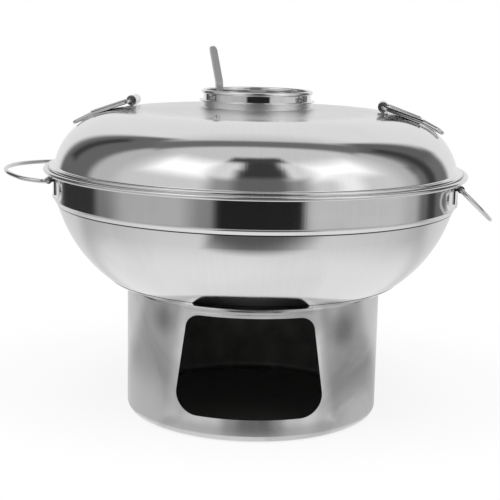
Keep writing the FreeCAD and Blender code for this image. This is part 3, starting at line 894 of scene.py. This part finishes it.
# Grip ribs: where each runs as a share of the grip's half width, how far out from the hinge line
# they start and end with the half width there, the wire's diameter and how deep it lies
GRIP_RIB_SHARES = (-0.68, -0.23, 0.23, 0.68)
GRIP_RIB_ENDS = ((4.5, 20.3), (28.6, 15.0))
GRIP_RIB_WIRE = 0.6
GRIP_RIB_DEPTH = 0.1


def on_lid(point, side):
    """Take a point made on the +X side to its place on the lid."""
    turn = LID_TURN if side == "right" else LID_TURN + math.pi
    return Matrix.Rotation(turn, 3, "Z") @ Vector(point)


class HOTPOT_OT_lid_loops(bpy.types.Operator):
    """Bends the wire loops of the two lid handles"""

    bl_idname = "hotpot.lid_loops"
    bl_label = "Bend the lid loops"

    def execute(self, context):
        half = [(0.0, 1.5, 0.0), (0.0, 17.0, 0.0), (30.8, 12.4, 0.0), (46.5, 9.7, -2.0)]
        corners = [(LID_HINGE[0] + out, -along, LID_HINGE[2] + rise) for out, along, rise in half]
        corners += [(out, -along, rise) for out, along, rise in corners[::-1]]
        path = rounded(corners, [3.0, 12.0, 5.0, 5.0, 12.0, 3.0])
        wire = context.scene.hot_pot_sizes.loop_wire
        for side in ("right", "left"):
            points = [on_lid(swung(point, LID_HINGE, LID_HANDLE_SLOPE), side) for point in path]
            loop = wire_piece(side + "_loop", points, wire, steel("bright wire"))
            stands_for(loop, side + "_lid_loop", side + "_lid_handle")
        return {"FINISHED"}


class HOTPOT_OT_grip_ribs(bpy.types.Operator):
    """Presses the fine ribs that run along the lid handles' grips"""

    bl_idname = "hotpot.grip_ribs"
    bl_label = "Press the grip ribs"

    def execute(self, context):
        pin_radius = 1.3
        top = LID_HINGE[2] + pin_radius + SHEET / MM
        for side in ("right", "left"):
            points = []
            for share in GRIP_RIB_SHARES:
                for out, half in GRIP_RIB_ENDS:
                    place = (LID_HINGE[0] + out, share * half, top - GRIP_RIB_DEPTH)
                    points.append(on_lid(swung(place, LID_HINGE, LID_HANDLE_SLOPE), side) * MM)
            ribs = line_object(side + "_grip_ribs", points, chain(len(points))[::2])
            values = {
                "Wire diameter": GRIP_RIB_WIRE * MM,
                "Steps round": 10,
                "Material": steel("grip sheet"),
            }
            apply_tree(ribs, wire_tree(), values)
            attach(ribs, side + "_lid_handle")
        return {"FINISHED"}


# Studio

# What polished steel mirrors: middle and half width round from the camera's side, lowest and
# highest elevation, softness (all in degrees), then the level. Later ones lie over earlier ones.
ROOM_PATCHES = (
    ("ceiling", 0.0, 400.0, 60.0, 120.0, 9.0, 0.66),
    ("front, low", 0.0, 60.0, -60.0, 0.0, 8.0, 0.27),
    ("left wall", -88.0, 30.0, -4.0, 62.0, 8.0, 0.55),
    ("left wall, low", -90.0, 24.0, -60.0, -2.0, 12.0, 0.16),
    ("right wall", 95.0, 20.0, -60.0, 60.0, 8.0, 0.52),
    ("left side", -52.0, 30.0, -2.0, 62.0, 8.0, 0.72),
    ("left side, low", -58.0, 23.0, -60.0, -2.0, 9.0, 0.54),
    ("right side", 60.0, 31.0, -1.0, 60.0, 8.0, 0.72),
    ("right side, low", 59.0, 31.0, -60.0, 0.0, 7.0, 0.66),
    ("left softbox", -50.0, 18.0, 35.0, 56.0, 11.0, 1.45),
    ("right softbox", 58.0, 18.0, 33.0, 53.0, 11.0, 1.40),
    ("right softbox's stand", 57.0, 7.0, 2.0, 36.0, 6.0, 1.05),
    ("front", 3.0, 29.0, 0.0, 33.0, 6.0, 0.32),
    ("behind the camera", 4.0, 16.0, 4.0, 48.0, 5.0, 0.14),
    ("camera screen", 6.0, 15.0, 36.0, 70.0, 5.0, 0.045),
    ("camera screen, top", 2.0, 27.0, 62.0, 71.0, 4.0, 0.06),
    ("camera side, low", 3.5, 24.5, -60.0, 2.0, 3.0, 0.018),
    ("left flag", -122.5, 18.5, -60.0, 60.0, 4.5, 0.15),
    ("left flag, low", -116.0, 19.0, -60.0, 0.0, 4.0, 0.04),
    ("left flag's stand", -129.0, 4.0, 12.0, 46.0, 3.0, 0.05),
    ("right flag", 120.0, 17.0, -60.0, 26.0, 4.0, 0.17),
    ("right flag, high", 120.5, 16.0, 20.0, 60.0, 5.0, 0.13),
    ("right flag's stand", 116.0, 4.5, -60.0, 50.0, 3.0, 0.05),
)
# A dark beam under the ceiling, just behind the pot: middle and half width of its lean away from
# the camera, lowest and highest elevation, softness (all in degrees), then the level
CEILING_BEAM = (11.8, 7.2, 56.0, 120.0, 3.5, 0.17)
ROOM_GREY = 0.85
# Patches that reach beyond this azimuth, in degrees, could meet themselves behind the pot
WRAP_FROM = 170.0


def laid_over(tree, mask, level, shade, label):
    """The shade where the mask is 1, and the level so far where it is 0."""
    inputs = {"Factor": mask, "A": level, "B": shade}
    return add_node(tree, "ShaderNodeMix", inputs, label=label).outputs["Result"]


def mix_shaders(tree, share, first, second):
    """The first shader where the share is 0, and the second where it is 1."""
    return add_node(tree, "ShaderNodeMixShader", {0: share, 1: first, 2: second}).outputs[0]


def glow(tree, kind, strength):
    """White light of a kind of node: a world's background or a face's emission."""
    return add_node(tree, kind, {"Color": WHITE, "Strength": strength}).outputs[0]


def room_patch(tree, level, around, elevation, label, *sizes):
    """Lay one patch over the room's level so far; returns the new level."""
    inputs = {"Azimuth": around, "Elevation": elevation}
    inputs.update(zip(ROOM_PATCH_SIZES, sizes))
    patch = add_node(tree, "ShaderNodeGroup", inputs, node_tree=shader_group("Room patch"))
    return laid_over(tree, patch.outputs["Mask"], level, sizes[-1], label)


def build_room(context, studio):
    """The world: white to the camera, and a studio with dark walls to polished steel."""
    world = bpy.data.worlds.new("studio room")
    context.scene.world = world
    world.use_nodes = True
    tree = world.node_tree
    tree.nodes.clear()
    across, depth, up = split(tree, tree.nodes.new("ShaderNodeTexCoord").outputs["Generated"])
    toward = math_node(tree, "MULTIPLY", depth, -1.0)
    azimuth = math_node(tree, "DEGREES", math_node(tree, "ARCTAN2", across, toward))
    elevation = math_node(tree, "DEGREES", math_node(tree, "ARCSINE", up))
    lean = math_node(tree, "DEGREES", math_node(tree, "ARCSINE", depth))
    level = ROOM_GREY
    for label, middle, half_width, *sizes in ROOM_PATCHES:
        around = azimuth
        if abs(middle) + half_width > WRAP_FROM:
            around = math_node(tree, "SUBTRACT", azimuth, middle)
            around = math_node(tree, "WRAP", around, 180.0, -180.0)
            middle = 0.0
        level = room_patch(tree, level, around, elevation, label, middle, half_width, *sizes)
    level = room_patch(tree, level, lean, elevation, "ceiling beam", *CEILING_BEAM)
    rays = tree.nodes.new("ShaderNodeLightPath").outputs
    plain, mirrored, white = (
        glow(tree, "ShaderNodeBackground", strength)
        for strength in (studio.room_level, level, 1.0)
    )
    unseen = mix_shaders(tree, rays["Is Glossy Ray"], plain, mirrored)
    surface = mix_shaders(tree, rays["Is Camera Ray"], unseen, white)
    add_node(tree, "ShaderNodeOutputWorld", {"Surface": surface})


# The table in polished steel: its level near the pot and far off, and where one gives way to the
# other. On it lie shades: middle and half size across and in depth, softness, then the level.
# Lengths are in metres.
TABLE_NEAR = 0.95
TABLE_FAR = 0.62
TABLE_TURNS = (0.17, 0.37)
TABLE_SHADES = (
    ("front shade", (0.035, -0.742), (0.13, 0.50), 0.022, 0.11),
    ("rear shade", (0.0, 0.27), (0.34, 0.12), 0.05, 0.55),
)
TABLE_PAINT = (0.93, 0.93, 0.93, 1.0)


def mirrored_table(tree, place, radius):
    """How bright each place of the table looks in polished steel."""
    places = split(tree, place)
    far = soft_step(tree, radius, *TABLE_TURNS)
    level = laid_over(tree, far, TABLE_NEAR, TABLE_FAR, "far table")
    for label, middle, half, softness, shade in TABLE_SHADES:
        inside = []
        for axis in range(2):
            aside = math_node(tree, "SUBTRACT", places[axis], middle[axis])
            aside = math_node(tree, "ABSOLUTE", aside)
            inside.append(math_node(tree, "SUBTRACT", half[axis], aside))
        mask = soft_step(tree, math_node(tree, "MINIMUM", *inside), -softness, softness)
        level = laid_over(tree, mask, level, shade, label)
    return level


def floor_material():
    """White table: near the pot it keeps the soft shadow, and farther off it is plain white."""
    material = bpy.data.materials.new("white table")
    material.use_nodes = True
    tree = material.node_tree
    tree.nodes.clear()
    place = object_place(tree)
    depth = split(tree, place)[1]
    radius = vector_node(tree, "LENGTH", place)
    rays = tree.nodes.new("ShaderNodeLightPath").outputs
    # To the camera: matt paint that turns into plain white away from the pot
    matt = add_node(tree, "ShaderNodeBsdfDiffuse", {"Color": TABLE_PAINT}).outputs[0]
    white = math_node(tree, "MULTIPLY_ADD", soft_step(tree, radius, 0.10, 0.36), 0.20, 0.80)
    seen = math_node(tree, "MAXIMUM", rays["Is Camera Ray"], rays["Is Transmission Ray"])
    seen = math_node(tree, "MULTIPLY", seen, white)
    plain = mix_shaders(tree, seen, matt, glow(tree, "ShaderNodeEmission", 1.0))
    # To steel that mirrors it at a low angle: a gloss in front of the pot, dimmer round it
    beside = math_node(tree, "MULTIPLY_ADD", soft_step(tree, radius, 0.12, 0.24), -0.20, 0.68)
    dim = math_node(tree, "MULTIPLY_ADD", soft_step(tree, depth, 0.05, 0.18), 0.30, beside)
    toward = math_node(tree, "MULTIPLY", depth, -1.0)
    near = soft_step(tree, depth, -0.14, -0.07)
    ahead = math_node(tree, "MAXIMUM", near, soft_step(tree, toward, 0.20, 0.29))
    polish = add_node(tree, "ShaderNodeBsdfGlossy", {"Roughness": 0.08}).outputs[0]
    grazed = mix_shaders(tree, ahead, polish, glow(tree, "ShaderNodeEmission", dim))
    # To steel that mirrors it from above: its own levels
    mirrored = glow(tree, "ShaderNodeEmission", mirrored_table(tree, place, radius))
    facing = add_node(tree, "ShaderNodeLayerWeight", {"Blend": 0.5}).outputs["Facing"]
    sheen = mix_shaders(tree, soft_step(tree, facing, 0.40, 0.66), mirrored, grazed)
    surface = mix_shaders(tree, rays["Is Glossy Ray"], plain, sheen)
    add_node(tree, "ShaderNodeOutputMaterial", {"Surface": surface})
    return material


# The softboxes: angles in degrees, lengths in metres
SOFTBOX_SIDE = 44.0
SOFTBOX_RISE = 55.0
SOFTBOX_DISTANCE = 1.6
SOFTBOX_SIZE = 0.9
SOFTBOX_AIM = 0.15


def add_softbox(name, azimuth, power):
    """An area lamp that looks at the pot from the given side."""
    data = bpy.data.lights.new(name, "AREA")
    data.shape = "SQUARE"
    data.size = SOFTBOX_SIZE
    data.energy = power
    lamp = bpy.data.objects.new(name, data)
    bpy.context.scene.collection.objects.link(lamp)
    turn = math.radians(azimuth)
    rise = math.radians(SOFTBOX_RISE)
    level = math.cos(rise)
    away = Vector((math.sin(turn) * level, -math.cos(turn) * level, math.sin(rise)))
    lamp.location = away * SOFTBOX_DISTANCE + Vector((0.0, 0.0, SOFTBOX_AIM))
    lamp.rotation_euler = away.to_track_quat("Z", "Y").to_euler()
    lamp.visible_glossy = False


class HOTPOT_OT_stage(bpy.types.Operator):
    """Builds the table, the room, the softboxes and the camera"""

    bl_idname = "hotpot.stage"
    bl_label = "Set the stage"

    def execute(self, context):
        studio = context.scene.hot_pot_studio
        mesh = bpy.data.meshes.new("table")
        reach = 0.75
        corners = [(-reach, -reach, 0), (reach, -reach, 0), (reach, reach, 0), (-reach, reach, 0)]
        mesh.from_pydata(corners, [], [(0, 1, 2, 3)])
        table = bpy.data.objects.new("table", mesh)
        context.scene.collection.objects.link(table)
        mesh.materials.append(floor_material())
        build_room(context, studio)
        add_softbox("left softbox", -SOFTBOX_SIDE, studio.key_power)
        add_softbox("right softbox", SOFTBOX_SIDE, studio.key_power)
        camera_data = bpy.data.cameras.new("photo camera")
        camera_data.sensor_width = 36.0
        camera_data.lens = studio.lens
        camera = bpy.data.objects.new("photo camera", camera_data)
        context.scene.collection.objects.link(camera)
        orbit = studio.camera_orbit
        away = studio.camera_distance
        place = Vector((math.sin(orbit) * away, -math.cos(orbit) * away, studio.camera_height))
        camera.matrix_world = (
            Matrix.Translation(place)
            @ Matrix.Rotation(orbit + studio.camera_turn, 4, "Z")
            @ Matrix.Rotation(math.pi / 2 - studio.camera_pitch, 4, "X")
            @ Matrix.Rotation(studio.camera_roll, 4, "Z")
        )
        context.scene.camera = camera
        context.scene.view_settings.view_transform = "Standard"
        return {"FINISHED"}


class HOTPOT_PT_panel(bpy.types.Panel):
    """Sidebar panel that lists the steps"""

    bl_label = "Hot Pot"
    bl_idname = "HOTPOT_PT_panel"
    bl_space_type = "VIEW_3D"
    bl_region_type = "UI"
    bl_category = "Hot Pot"

    def draw(self, context):
        for operator in OPERATORS:
            self.layout.operator(operator.bl_idname)
        for group in ("hot_pot_sizes", "hot_pot_finishes", "hot_pot_studio"):
            settings = getattr(context.scene, group)
            for name in settings.__annotations__:
                self.layout.prop(settings, name)


OPERATORS = (
    HOTPOT_OT_finish_frame,
    HOTPOT_OT_bowl,
    HOTPOT_OT_lid,
    HOTPOT_OT_vent_collar,
    HOTPOT_OT_cup,
    HOTPOT_OT_ring_handles,
    HOTPOT_OT_lid_loops,
    HOTPOT_OT_grip_ribs,
    HOTPOT_OT_stage,
)
SETTINGS = (HotPotSizes, HotPotFinishes, HotPotStudio)


def register():
    for item in SETTINGS + OPERATORS + (HOTPOT_PT_panel,):
        bpy.utils.register_class(item)
    bpy.types.Scene.hot_pot_sizes = bpy.props.PointerProperty(type=HotPotSizes)
    bpy.types.Scene.hot_pot_finishes = bpy.props.PointerProperty(type=HotPotFinishes)
    bpy.types.Scene.hot_pot_studio = bpy.props.PointerProperty(type=HotPotStudio)


def unregister():
    del bpy.types.Scene.hot_pot_studio
    del bpy.types.Scene.hot_pot_finishes
    del bpy.types.Scene.hot_pot_sizes
    for item in (HOTPOT_PT_panel,) + OPERATORS[::-1] + SETTINGS[::-1]:
        bpy.utils.unregister_class(item)


def main():
    register()
    bpy.ops.hotpot.finish_frame()
    bpy.ops.hotpot.bowl()
    bpy.ops.hotpot.lid()
    bpy.ops.hotpot.vent_collar()
    bpy.ops.hotpot.cup()
    bpy.ops.hotpot.ring_handles()
    bpy.ops.hotpot.lid_loops()
    bpy.ops.hotpot.grip_ribs()
    bpy.ops.hotpot.stage()


if __name__ == "__main__":
    main()
